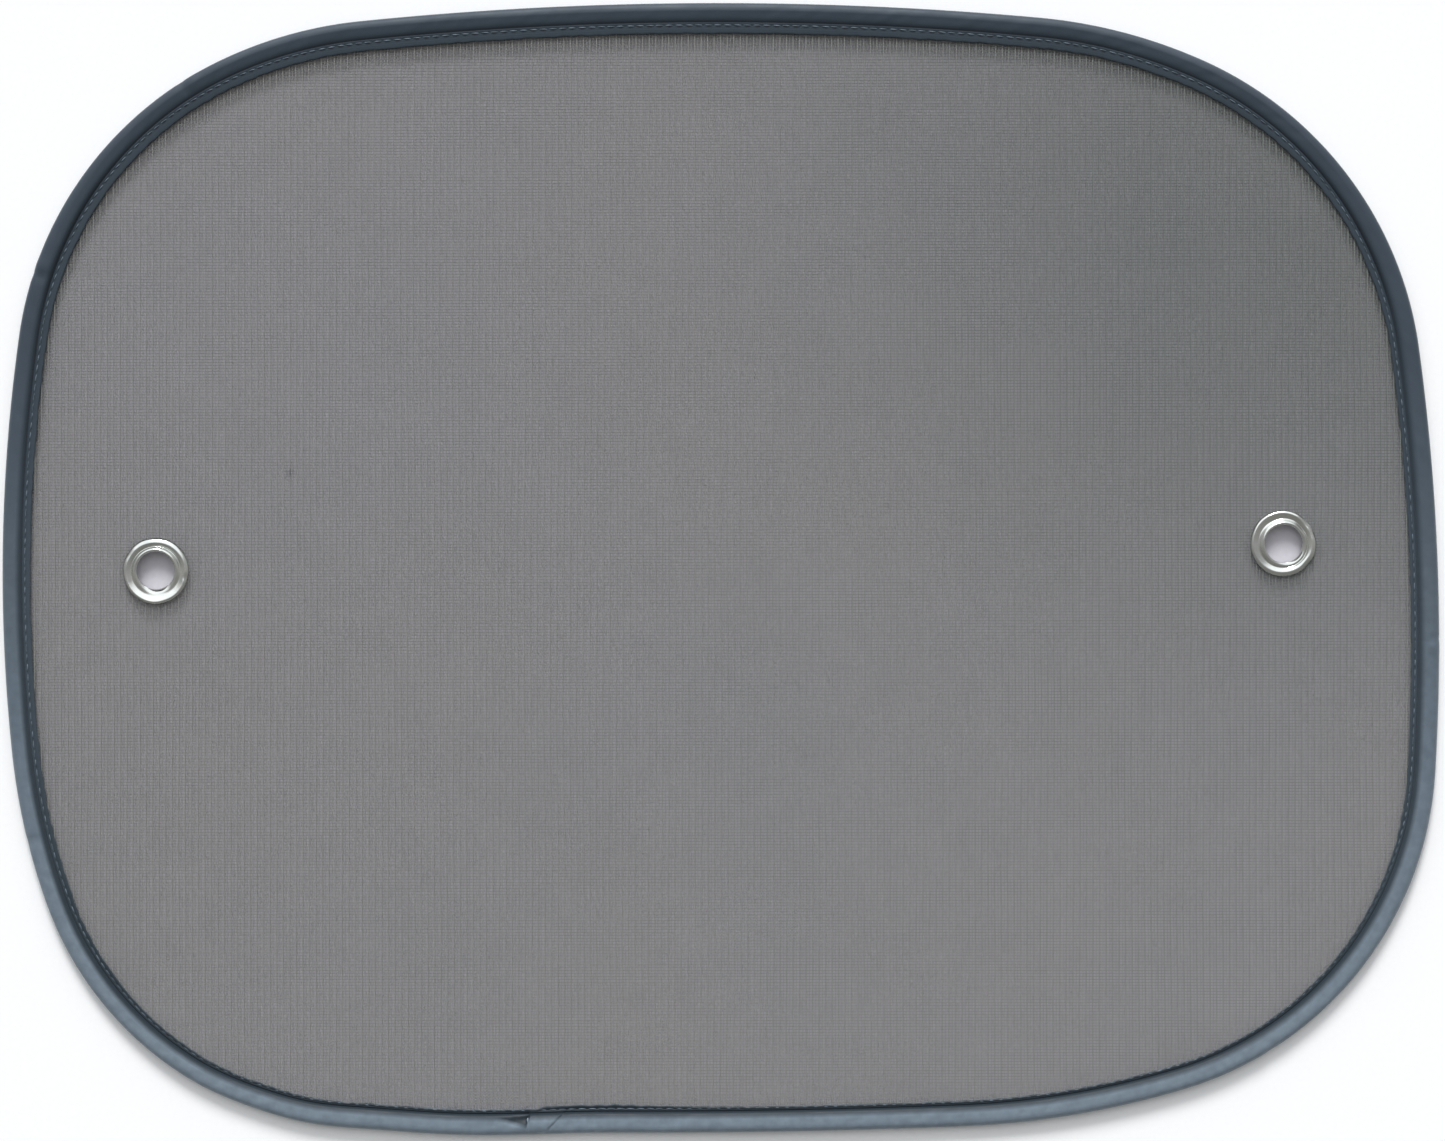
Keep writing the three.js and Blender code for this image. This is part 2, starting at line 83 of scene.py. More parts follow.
def side_radii():
    """The radii of the top, right, bottom and left sides, from four equations, one for each span."""
    rows, spans = np.zeros((4, 4)), np.zeros(4)
    for k in range(4):
        start, change, end = np.radians(CORNERS[k][:3])
        first, last = (share * HEIGHT for share in CORNERS[k][3:])
        start_b, change_b, end_b = np.radians(CORNERS[k - 1][:3])
        first_b, last_b = (share * HEIGHT for share in CORNERS[k - 1][3:])
        rows[k, k] = math.sin(start) + math.cos(end_b)
        rows[k, (k + 1) % 4] = 1 - math.sin(end)
        rows[k, k - 1] += 1 - math.cos(start_b)
        along = first * (math.sin(change) - math.sin(start))
        along += last * (math.sin(end) - math.sin(change))
        aside = first_b * (math.cos(start_b) - math.cos(change_b))
        aside += last_b * (math.cos(change_b) - math.cos(end_b))
        spans[k] = (HEIGHT if k % 2 else WIDTH) - along - aside
    return np.linalg.solve(rows, spans)


SIDES = side_radii()
from_heading, to_heading, radius = [], [], []
for k, (start, change, end, first, last) in enumerate(CORNERS):
    from_heading += [90 * k, 90 * k + start, 90 * k + change, 90 * k + end]
    to_heading += [90 * k + start, 90 * k + change, 90 * k + end, 90 * k + 90]
    radius += [SIDES[k], first * HEIGHT, last * HEIGHT, SIDES[(k + 1) % 4]]
FROM, TO = np.radians(from_heading), np.radians(to_heading)
RADIUS = np.array(radius)
LENGTHS = RADIUS * (TO - FROM)
STARTS = np.concatenate([[0], np.cumsum(LENGTHS)[:-1]])
RIM_LENGTH = LENGTHS.sum()
steps_x = RADIUS * (np.sin(TO) - np.sin(FROM))
steps_y = RADIUS * (np.cos(TO) - np.cos(FROM))
top_x = steps_x[-4:].sum() - WIDTH / 2
at_x = top_x + np.concatenate([[0], np.cumsum(steps_x)[:-1]])
at_y = HEIGHT / 2 + np.concatenate([[0], np.cumsum(steps_y)[:-1]])
CENTRE_X, CENTRE_Y = at_x - RADIUS * np.sin(FROM), at_y - RADIUS * np.cos(FROM)
LOWEST, RIGHTMOST, LEFTMOST = STARTS[8], STARTS[4], STARTS[12]


def ease(x):
    """A soft step from 0 to 1 as x goes from 0 to 1."""
    x = np.clip(x, 0, 1)
    return x * x * (3 - 2 * x)


def bump(x, width):
    """A soft hump of height 1 at 0 that is gone at width on either side."""
    return ease(1 - np.abs(x) / width)


def rim(travel):
    """Points and inward normals at distances travelled clockwise from the highest point, in mm."""
    travel = np.mod(travel, RIM_LENGTH)
    arc = np.searchsorted(STARTS, travel, side="right") - 1
    heading = FROM[arc] + (travel - STARTS[arc]) / RADIUS[arc]
    outward = np.stack([np.sin(heading), np.cos(heading)], -1)
    centre = np.stack([CENTRE_X[arc], CENTRE_Y[arc]], -1)
    past = travel - LOWEST
    slack = 1.3 * bump(past - 54, 45) - 0.4 * bump(past - 120, 22)  # the hoop is bent at the lap
    return centre + outward * (RADIUS[arc] + slack)[..., None], -outward


print("length round the rim, mm:", round(RIM_LENGTH, 1), "side radii, mm:", SIDES.round(0))

# %% [markdown]
# ## Tools for making pieces
#
# A sewn edge is a section carried along a path, and so are a yarn and a stitch. One function turns
# a grid of points into a closed skin, and one makes the object, smooths it and sets it on the frame.

# %% Mesh helpers
MID = 2.1  # height of the mesh's mid plane over the floor, which is also the radius of the fold


def grid_faces(rings, sides, closed):
    """Faces of a skin over rings of points, each closed round its sides. An open one has end caps."""
    i = np.arange(rings if closed else rings - 1)[:, None] * sides
    j = np.arange(sides)[None, :]
    k = (j + 1) % sides
    after = (i + sides) % (rings * sides)
    quads = np.stack([i + j, i + k, after + k, after + j], -1).reshape(-1, 4).tolist()
    if closed:
        return quads
    last = (rings - 1) * sides
    return quads + [list(range(sides))[::-1], list(range(last, last + sides))]


def many(points, closed=False):
    """Joins equal skins into one list of points and faces. points is (skins, rings, sides, 3)."""
    skins, rings, sides, _ = points.shape
    one = grid_faces(rings, sides, closed)
    shift = rings * sides
    faces = [[v + s * shift for v in face] for s in range(skins) for face in one]
    return points.reshape(-1, 3), faces


def make_piece(name, points, faces, slot, smooth=True):
    """A mesh object from points in mm and faces, riding on the body root. The slot is not used."""
    mesh = bpy.data.meshes.new(name)
    mesh.from_pydata((np.asarray(points) * MM).tolist(), [], faces)
    mesh.validate()
    if smooth:
        mesh.shade_smooth()
    else:
        mesh.shade_flat()
    piece = bpy.data.objects.new(name, mesh)
    bpy.context.scene.collection.objects.link(piece)
    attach(piece, "root")
    print(f"{name}: {sum(len(f) - 2 for f in faces)} triangles")
    return piece


def waves(seed, count, shortest, longest):
    """A smooth random function of one length in mm, near -1 to 1, made of sines that fit the rim."""
    dice = np.random.default_rng(seed)
    lengths = np.exp(dice.uniform(np.log(shortest), np.log(longest), count))
    turns = np.round(RIM_LENGTH / lengths)
    phases = dice.uniform(0, 2 * np.pi, count)
    heights = dice.uniform(0.5, 1, count) / np.sqrt(count)

    def value(travel):
        angle = np.asarray(travel)[..., None] * turns * 2 * np.pi / RIM_LENGTH + phases
        return (np.sin(angle) * heights).sum(-1)

    return value


# %% [markdown]
# ## The knitted mesh
#
# The panel is a warp knit: upright ribs 2 mm apart with a finer rib between them, and courses every
# 0.9 mm that tie them together. Each yarn is a thin closed strip of its own, so the light goes
# through the real gaps and the surface behind shows, darkened by the mesh's own shadow. A soft
# wander in the spacing gives the faint cloudy patches that such a cloth has when it is stretched.

# %% Yarns of the mesh
PANEL_INSET = 5.6
RIB_PITCH, COURSE_PITCH = 2.0, 0.9
EYELETS = {"left": (-173.0, -0.8), "right": (172.3, 7.4)}
PASSAGE = 7.4  # radius of the hole that the mesh leaves round each eyelet's barrel
MARGIN = 4  # keeps the outermost yarns off the oval's very ends, where a line has no length
around = np.linspace(0, RIM_LENGTH, 4000, endpoint=False)
edge_points, edge_inward = rim(around)
PANEL_EDGE = edge_points + edge_inward * PANEL_INSET


def reach(values, axis):
    """The low and high end of each line across the panel, where a line is one x or one y."""
    other = PANEL_EDGE[:, 1 - axis]
    along = PANEL_EDGE[:, axis]
    ends = []
    for half in (other < 0, other >= 0):
        order = np.argsort(along[half])
        ends.append(np.interp(values, along[half][order], other[half][order]))
    return ends


def spans(values, axis):
    """Stretches (value, low, high) of the lines, broken where an eyelet's barrel goes through."""
    low, high = reach(values, axis)
    found = []
    for value, a, b in zip(values, low, high):
        holes = []
        for centre in EYELETS.values():
            off = abs(value - centre[axis])
            if off < PASSAGE:
                half = math.sqrt(PASSAGE**2 - off**2)
                holes.append((centre[1 - axis] - half, centre[1 - axis] + half))
        cuts = [a, *[end for hole in sorted(holes) for end in hole], b]
        found += [(value, c, d) for c, d in zip(cuts[::2], cuts[1::2]) if d - c > 1]
    return np.array(found)


wander_x = waves(3, 7, 60, 400)
wander_y = waves(4, 7, 60, 400)
PATCHES = [  # centre and reach in mm of each patch, and the share by which its yarns are wider
    (190, 110, 108, 0.34),
    (-150, 110, 120, -0.15),
]


def density(x, y):
    """How wide the yarns run: the knit is closer at the upper right and opener at the upper left."""
    wide = 1
    for patch_x, patch_y, size, gain in PATCHES:
        wide = wide + gain * np.exp(-((x - patch_x) ** 2 + (y - patch_y) ** 2) / size**2)
    return wide


def yarns(values, axis, width, low, high, stations, drift):
    """Closed strips along the lines, narrower at the top. axis 0 gives ribs and axis 1 courses."""
    lines = spans(values, axis)
    share = np.linspace(0, 1, stations)
    along = lines[:, 1:2] + (lines[:, 2:3] - lines[:, 1:2]) * share
    across = np.broadcast_to(lines[:, :1], along.shape)
    mix = wander_x(across * 1.7 + along * 0.6 + 311 * axis) + wander_y(along - across * 0.8)
    across = across + drift * mix
    wide = width * (density(along, across) if axis else density(across, along))
    section = [(-0.5, low), (0.5, low), (0.3, high), (-0.3, high)]
    points = np.zeros((*along.shape, len(section), 3))
    for s, (side, height) in enumerate(section):
        points[:, :, s, axis] = across + side * wide
        points[:, :, s, 1 - axis] = along
        points[:, :, s, 2] = MID + height
    return many(points)


def centred(span, pitch, offset=0.0):
    """Evenly spaced places on both sides of the middle, within the span."""
    count = int(span / 2 / pitch)
    return np.arange(-count, count + 1) * pitch + offset


rib_lines = centred(WIDTH - 2 * PANEL_INSET - MARGIN, RIB_PITCH)
fine_lines = centred(WIDTH - 2 * PANEL_INSET - 2 * MARGIN, RIB_PITCH, RIB_PITCH / 2)
course_lines = centred(HEIGHT - 2 * PANEL_INSET - MARGIN, COURSE_PITCH)
groups = [  # lines, axis, width, bottom and top from the mid plane, points along, sideways drift
    yarns(rib_lines, 0, 0.36, -0.1, 0.2, 14, 0.25),
    yarns(fine_lines, 0, 0.15, -0.08, 0.12, 14, 0.25),
    yarns(course_lines, 1, 0.21, -0.16, 0.06, 18, 0.12),
]
points, faces, held = [], [], 0
for group_points, group_faces in groups:
    faces += [[v + held for v in face] for face in group_faces]
    points.append(group_points)
    held += len(group_points)
panel = make_piece("knit_panel", np.concatenate(points), faces, "knit", smooth=False)
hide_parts("mesh_panel")

# %% [markdown]
# ## The folded tape
#
# The tape goes round the wire and is sewn shut, so its section is a hairpin: a round fold, a flank
# that dips into a groove, and a flat hem with the seam along it. The hem's cut edge curls up a
# little, which is why it draws a fine line along the mesh. It is made as one closed skin, carried
# round the rim with stations packed closer where the end of the tape laps over its start.

# %% The tape's section
TAPE = 0.4  # thickness
SEAM = 7.2  # inset of the stitches from the rim
FLANK = [  # inset from the rim and height over the mid plane, from the hem to the top of the fold
    (8.6, 0.4),
    (8.6, 0.66),
    (8.4, 0.8),
    (8.0, 0.8),
    (7.55, 0.7),
    (7.2, 0.56),
    (6.95, 0.68),
    (6.7, 0.76),
    (6.5, 0.7),
    (6.3, 0.45),
    (6.2, 0.75),
    (6.05, 1.1),
    (5.85, 1.45),
    (5.5, 1.78),
    (5.0, 1.98),
    (4.3, 2.08),
    (3.5, 2.12),
    (2.8, 2.12),
]
fold = [(MID - MID * math.cos(a), MID * math.sin(a)) for a in np.radians([90, 62, 38, 18, 0])]
half = np.array(FLANK + fold)
rounded = [half[0]]
for a, b in zip(half[:-1], half[1:]):
    rounded += [a * 0.75 + b * 0.25, a * 0.25 + b * 0.75]
outside_front = np.array(rounded)
outside_back = outside_front[::-2] * [1, -1]  # the back lies on the floor, so half the points do
inner_fold = MID - TAPE
inside = [(8.6, -0.2), (6.2, -0.12), (4.9, -0.9), (2.9, -inner_fold), (MID - inner_fold, 0)]
inside += [(i, -h) for i, h in inside[-2::-1]]
SECTION = np.concatenate([outside_front, [[0, 0]], outside_back, inside])
FRONT = len(outside_front)
print("points in the section:", len(SECTION))

# %% [markdown]
# The creases come next. Where the tape ends, its cut edge slants across the fold, and a second
# crease beyond it pulls the flank down into a pinch. Each small kink is a place where the hoop was
# folded small. The puckers follow the stitches, because each stitch pulls the cloth in.
#
# The tape isn't the same all round either. It has rolled a little toward the upper left, its hem
# leans in or out, and along the top it falls to the hem in one gentle slope.

# %% The tape's creases
LAP_EDGE, LAP_CREASE = 30.9, 35.3  # the tape's cut end and the crease, in mm past the lowest point


def rolled(inward):
    """How far the fold and the seam have rolled toward the middle, in mm, from the inward normal."""
    return 0.28 * (inward[..., 1] - inward[..., 0])


def along_top(up):
    """1 where the rim faces the top and 0 elsewhere, from the upward part of its outward normal."""
    return ease((up - 0.3) / 0.6)


past_lowest = np.concatenate(
    [
        np.arange(-RIM_LENGTH / 2, 14, 1.35),
        np.arange(14, 50, 0.3),
        np.arange(50, RIM_LENGTH / 2 - 0.7, 1.35),
    ]
)
travel = (past_lowest + LOWEST)[:, None]
past = past_lowest[:, None]
inset = np.broadcast_to(SECTION[:, 0], (len(past_lowest), len(SECTION))).copy()
height = np.broadcast_to(SECTION[:, 1], inset.shape).copy()
index = np.arange(len(SECTION))
on_front = (index < FRONT)[None, :]
on_back = ((index > FRONT) & (index <= FRONT + len(outside_back)))[None, :]

_, inward = rim(travel[:, 0])
up = -inward[:, 1:2]
roll = rolled(inward)[:, None]
hem = ease((inset - SEAM) / 0.9)
lean = 0.8 * up + 0.12 * waves(11, 9, 4, 40)(travel)
lean = lean + 0.8 * ease((33 - past) / 4) * ease((past + 30) / 40)
inset += ease((inset - 2.5) / 3) * roll + hem * (lean - roll)

gentle = 0.7 * along_top(up)
easy = 2.1 - 0.2 * (SECTION[:, 0] - 2.5)  # height of the gentle slope at each inset
on_slope = on_front & (index >= 3)[None, :] & (SECTION[:, 0] > 2.8)[None, :]
height += np.where(on_slope, gentle * (easy - SECTION[:, 1]), 0)

flank = bump(inset - 5.3, 1.9)
crown = bump(inset - 3.4, 3.2)
puckers = np.sin(travel * 2 * np.pi * round(RIM_LENGTH / 3) / RIM_LENGTH)
folds = waves(21, 14, 5, 60)(travel + inset * 1.3)
ripples = 0.05 * flank * puckers + 0.09 * crown * folds

lap_edge = past - (LAP_EDGE - 1.0 * inset)
double = ease(lap_edge / 0.45 + 0.5) * ease((LAP_CREASE - past) / 0.5)
crease = np.exp(-(((past - LAP_CREASE) / 0.35) ** 2)) + 0.5 * np.exp(-((lap_edge / 0.3) ** 2))
beyond = np.clip((past - LAP_CREASE) / 9.5, 0, 1)
pinch = np.where(past > LAP_CREASE - 0.4, (1 - beyond) ** 1.3, 0) * bump(inset - 5.0, 2.3)
pinch_along = (ease((past - LAP_CREASE + 0.6) / 1.2) * (1 - beyond) ** 1.3)[:, 0]
front_lift = ripples + 0.32 * double * bump(inset - 3.6, 5.5)
front_lift = front_lift - 0.42 * crease * bump(inset - 3.6, 4.6) - 0.95 * pinch * (beyond < 1)
KINKS = [  # travel, depth and half width of each kink, in mm
    (LEFTMOST + 92.5, 0.4, 1.4),
    (RIGHTMOST - 1.5, 0.3, 0.7),
    (LOWEST + 232, 0.3, 1.6),
    (LEFTMOST + 168, 0.3, 1.5),
    (LOWEST - 196, 0.22, 1.8),
]
for at, depth, half_width in KINKS:
    away = np.mod(travel - at + RIM_LENGTH / 2, RIM_LENGTH) - RIM_LENGTH / 2
    notch = np.exp(-((away / half_width) ** 2)) - 0.45 * np.exp(-(((away - 3) / 2.2) ** 2))
    front_lift = front_lift - depth * notch * bump(inset - 2.6, 4)
    inset += np.where(inset < 1.5, 0.35 * depth * notch, 0)
height += np.where(on_front, front_lift, 0)
height += np.where(on_back, -0.4 * ripples, 0)
height = np.maximum(height, -MID)

where, inward = rim(np.broadcast_to(travel, inset.shape))
points = np.zeros((1, *inset.shape, 3))
points[0, ..., :2] = where + inward * inset[..., None]
points[0, ..., 2] = MID + height
tape_points, tape_faces = many(points, closed=True)
tape = make_piece("binding_tape", tape_points, tape_faces, "tape")
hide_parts("edge_binding")

steps = np.linalg.norm(np.diff(np.vstack([SECTION, SECTION[:1]]), axis=0), axis=1)
reached = np.concatenate([[0], np.cumsum(steps)])
rings, sides = inset.shape
at = np.append(past_lowest, past_lowest[0] + RIM_LENGTH)
i, j = np.meshgrid(np.arange(rings), np.arange(sides), indexing="ij")
u = np.stack([at[i], at[i], at[i + 1], at[i + 1]], -1)
TUCK, TUCK_REACH = 2.4, 9  # the pinch pulls the hem in by so much, and so far from its edge, in mm
tucked = np.append(pinch_along, pinch_along[0])
shift = TUCK * np.stack([tucked[i], tucked[i], tucked[i + 1], tucked[i + 1]], -1)
v = np.stack([reached[j], reached[j + 1], reached[j + 1], reached[j]], -1)
v = np.where(v < TUCK_REACH, np.maximum(v - shift, 0), v)
weave_map = tape.data.uv_layers.new(name="weave")
weave_map.data.foreach_set("uv", (np.stack([u, v], -1) * MM).ravel())

# %% [markdown]
# ## The seam
#
# A lockstitch shows as a row of short grains, each dipping into the cloth at its ends. They are
# modelled one by one, because their shadows are what tells the eye that the tape is sewn.

# %% The stitches
STITCH_PITCH, STITCH_LENGTH, THREAD_RADIUS = 3.0, 2.5, 0.2


def stitches(name, side):
    """The row of stitches on the front (side 1) or on the back (side -1)."""
    count = round(RIM_LENGTH / STITCH_PITCH)
    dice = np.random.default_rng(5 + side)
    start = np.arange(count) * RIM_LENGTH / count + dice.uniform(-0.12, 0.12, count)
    share = np.linspace(0, 1, 7)
    along = start[:, None] + (share - 0.5) * STITCH_LENGTH
    arch = np.sin(np.pi * share)
    thick = THREAD_RADIUS * (0.35 + 0.65 * arch**0.5)
    level = 0.54 + 0.16 * arch
    angle = np.linspace(0, 2 * np.pi, 8, endpoint=False)
    off = thick[:, None] * np.cos(angle)
    up = level[:, None] + 0.8 * thick[:, None] * np.sin(angle)
    slant = 0.08 * (share - 0.5)[:, None]
    spot, inward = rim(along)
    raised_hem = (0.42 if side > 0 else 0) * along_top(-inward[..., 1])
    points = np.zeros((count, len(share), len(angle), 3))
    far = SEAM + off + slant + rolled(inward)[..., None]
    points[..., :2] = spot[:, :, None] + inward[:, :, None] * far[..., None]
    points[..., 2] = MID + side * up + raised_hem[..., None]
    return make_piece(name, *many(points), "thread")


front_seam = stitches("seam_stitches_front", 1)
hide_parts("seam_thread_front")
back_seam = stitches("seam_stitches_back", -1)
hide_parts("seam_thread_back")

# %% [markdown]
# ## The eyelets
#
# Each eyelet is pressed from thin sheet: a rounded outer shoulder, a cone that dips inward, a raised
# bead round the hole and a barrel whose end is rolled over a washer at the back. A turned profile
# gives the rings, and small dents break them up, because plating shows every mark at once. Neither
# ring was pressed quite square: its crest stands out on one side, and its bead is flat on one side.

# %% The eyelets' rings
SHEET = 0.35
FACE = [  # radius and height over the mid plane, from the flange's edge to the end of the roll
    (10.1, 0.2),
    (10.1, 0.5),
    (9.95, 0.85),
    (9.6, 1.15),
    (9.2, 1.32),
    (8.9, 1.32),
    (8.3, 1.06),
    (7.8, 0.8),
    (7.55, 0.76),
    (7.3, 0.98),
    (7.0, 1.4),
    (6.7, 1.72),
    (6.4, 1.86),
    (6.1, 1.8),
    (5.88, 1.6),
    (5.8, 1.3),
    (5.8, 0.4),
    (5.8, -0.6),
    (5.9, -0.95),
    (6.2, -1.18),
    (6.8, -1.2),
    (7.3, -1.14),
]


def ring_profile():
    """The closed section: the seen face, rounded, and the same face moved back by the sheet."""
    face = np.array(FACE)
    smooth = [face[0]]
    for a, b in zip(face[:-1], face[1:]):
        smooth += [a * 0.75 + b * 0.25, a * 0.25 + b * 0.75]
    smooth = np.array([*smooth, face[-1]])
    way = np.gradient(smooth, axis=0)
    way /= np.linalg.norm(way, axis=1)[:, None]
    behind = smooth + SHEET * np.stack([-way[:, 1], way[:, 0]], -1)
    return np.concatenate([smooth, behind[::-1]])


DENTS = {  # angle in degrees, radius, reach across and depth of each mark, in mm
    "left": [(-13, 9.2, 1.1, 0.3), (150, 9.7, 1.8, 0.1), (-75, 9.8, 2.4, 0.12), (60, 6.6, 1.6, 0.06)],
    "right": [(41, 9.6, 2.6, 0.42), (20, 9.9, 1.6, 0.2), (-40, 9.7, 1.8, 0.14), (118, 6.6, 1.8, 0.08)],
}
PRESSED = {  # degrees: where the crest is pushed out, and where the bead is pressed flat
    "left": (-90, -85),
    "right": (140, -38),
}


def eyelet(side):
    """The turned ring of one eyelet, made uneven by its dents and its pressing."""
    profile = ring_profile()
    turn = np.linspace(0, 2 * np.pi, 144, endpoint=False)
    angle = np.broadcast_to(turn[:, None], (len(turn), len(profile)))
    radius = np.broadcast_to(profile[:, 0], angle.shape).copy()
    level = np.broadcast_to(profile[:, 1], angle.shape).copy()
    flange = ease((radius - 8.2) / 1.6)
    phase = 0.0 if side == "left" else 1.9
    radius += flange * (0.05 * np.sin(3 * angle + phase) + 0.035 * np.sin(7 * angle + 2 * phase))
    level += 0.05 * np.sin(2 * angle + phase) * ease(level / 2)
    for degrees, at, wide, depth in DENTS[side]:
        a = math.radians(degrees)
        gap_x = radius * np.cos(angle) - at * math.cos(a)
        gap_y = radius * np.sin(angle) - at * math.sin(a)
        mark = depth * bump(np.hypot(gap_x, gap_y), wide * 1.6) * (level > 0)
        radius -= mark
        level -= 0.6 * mark * (level > 0.6)
    crest_way, bead_way = (math.radians(a) for a in PRESSED[side])
    radius += 0.5 * np.cos(angle - crest_way) * bump(radius - 8.8, 2.2) * (level > 0.3)
    flat = ((1 + np.cos(angle - bead_way)) / 2) ** 2
    pressed = level - 1.5 * flat * bump(radius - 6.2, 1.7)
    level = np.where(level > 0.5, np.maximum(pressed, 0.45), level)
    centre = EYELETS[side]
    points = np.zeros((1, *angle.shape, 3))
    points[0, ..., 0] = centre[0] + radius * np.cos(angle)
    points[0, ..., 1] = centre[1] + radius * np.sin(angle)
    points[0, ..., 2] = MID + level
    made = make_piece(f"{side}_eyelet_ring", *many(points, closed=True), "plating")
    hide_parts(f"{side}_eyelet")
    return made


rings_made = [eyelet("left"), eyelet("right")]

# %% [markdown]
# ## Tools for finishes
#
# Every finish is a Principled shader fed by a few pattern nodes. Colours are written as the eye
# knows them, in sRGB, and turned to linear light by one function. Pattern sizes are real lengths.

# %% Node helpers


def linear(colour):
    """Linear light of an sRGB colour such as '#485868'."""
    parts = [int(colour[k : k + 2], 16) / 255 for k in (1, 3, 5)]
    return (*[p / 12.92 if p <= 0.04045 else ((p + 0.055) / 1.055) ** 2.4 for p in parts], 1)


def node(tree, kind, inputs=None, **settings):
    """Adds a node, sets it, and gives each named input a value or links it to an output."""
    made = tree.nodes.new("ShaderNode" + kind)
    for name, value in settings.items():
        setattr(made, name, value)
    for name, value in (inputs or {}).items():
        if isinstance(value, bpy.types.NodeSocket):
            tree.links.new(value, made.inputs[name])
        else:
            made.inputs[name].default_value = value
    return made


def blank(name):
    """A new material with an empty node tree, and that tree."""
    material = bpy.data.materials.new(name)
    material.use_nodes = True
    material.node_tree.nodes.clear()
    return material, material.node_tree


def finish_with(tree, **inputs):
    """Ends the tree with a Principled shader, whose inputs are named with _ for each space."""
    shader = node(tree, "BsdfPrincipled", {k.replace("_", " "): v for k, v in inputs.items()})
    node(tree, "OutputMaterial", {"Surface": shader.outputs[0]})


def spots(tree, spot_mm, detail=2.0):
    """Noise whose features are about spot_mm across, on the object's own coordinates."""
    where = node(tree, "TexCoord").outputs["Object"]
    inputs = {"Vector": where, "Scale": 1 / (spot_mm * MM), "Detail": detail}
    return node(tree, "TexNoise", inputs).outputs["Fac"]


def between(tree, share, low, high):
    """A value that goes from low to high as share goes from 0.3 to 0.7."""
    inputs = {"Value": share, "From Min": 0.3, "From Max": 0.7, "To Min": low, "To Max": high}
    return node(tree, "MapRange", inputs).outputs["Result"]


def blend(tree, share, first, second):
    """A colour between two colours, each an sRGB text or another colour output."""
    ends = [linear(c) if isinstance(c, str) else c for c in (first, second)]
    mix = node(tree, "Mix", {0: share, 6: ends[0], 7: ends[1]}, data_type="RGBA")
    return mix.outputs[2]


def ripple(tree, length, pitch_mm):
    """A wave from 0 to 1 that repeats each pitch_mm along a length in metres."""
    angle = node(tree, "Math", {0: length, 1: 2 * math.pi / (pitch_mm * MM)}, operation="MULTIPLY")
    wave = node(tree, "Math", {0: angle.outputs[0]}, operation="SINE")
    inputs = {0: wave.outputs[0], 1: 0.5, 2: 0.5}
    return node(tree, "Math", inputs, operation="MULTIPLY_ADD").outputs[0]


def raised(tree, share, height_mm, strength=1.0):
    """A bump normal from a pattern whose high and low parts are height_mm apart."""
    inputs = {"Height": share, "Distance": height_mm * MM, "Strength": strength}
    return node(tree, "Bump", inputs).outputs["Normal"]


# %% [markdown]
# ## The finishes
#
# Textured polyester yarn is dull: it scatters light in its many fine filaments, so its roughness is
# high and a little sheen lifts its edges. Across the panel the grey drifts between cooler and
# warmer, a painted shade darkens and cools the upper right, and a few dark marks are left where
# a yarn has snagged.

# %% Knit
MARKS = [((-132.0, 29.1), 1.9, 0.85), ((44.2, 95.2), 0.7, 0.35), ((-22.3, -80.0), 0.8, 0.45)]


def knit_finish():
    material, tree = blank("warp_knit_polyester")
    place = node(tree, "TexCoord").outputs["Object"]
    grey = blend(tree, between(tree, spots(tree, 120, 1), 0, 1), "#878781", "#838581")
    grey = blend(tree, between(tree, spots(tree, 9, 3), 0, 0.3), grey, "#70726f")
    corner = (0.17, 0.11, 0)  # in metres: the upper right, darkened and cooled by painted shade
    far = node(tree, "VectorMath", {0: place, 1: corner}, operation="DISTANCE").outputs["Value"]
    inputs = {"Value": far, "From Min": 0.02, "From Max": 0.2, "To Min": 0.5, "To Max": 0.0}
    shade = node(tree, "MapRange", inputs, interpolation_type="SMOOTHSTEP").outputs["Result"]
    grey = blend(tree, shade, grey, "#4e5b59")
    for (x, y), size, depth in MARKS:
        spot = (x * MM, y * MM, MID * MM)
        away = node(tree, "VectorMath", {0: place, 1: spot}, operation="DISTANCE").outputs["Value"]
        ragged = node(tree, "Math", {0: spots(tree, 1.2, 3), 1: 0.9 * size * MM}, operation="MULTIPLY")
        edge = node(tree, "Math", {0: away, 1: ragged.outputs[0]}, operation="ADD").outputs[0]
        inputs = {"Value": edge, "From Min": 0.5 * size * MM, "From Max": 1.6 * size * MM}
        inputs |= {"To Min": depth, "To Max": 0.0}
        dark = node(tree, "MapRange", inputs).outputs["Result"]
        grey = blend(tree, dark, grey, "#1f2424")
    parts = node(tree, "SeparateXYZ", {0: place})
    loops = ripple(tree, parts.outputs["Y"], COURSE_PITCH)
    twist = ripple(tree, parts.outputs["X"], 0.5)
    both = node(tree, "Math", {0: loops, 1: twist}, operation="ADD").outputs[0]
    normal = raised(tree, both, 0.05, 0.8)
    finish_with(tree, Base_Color=grey, Roughness=0.85, Sheen_Weight=0.15, Normal=normal)
    return material
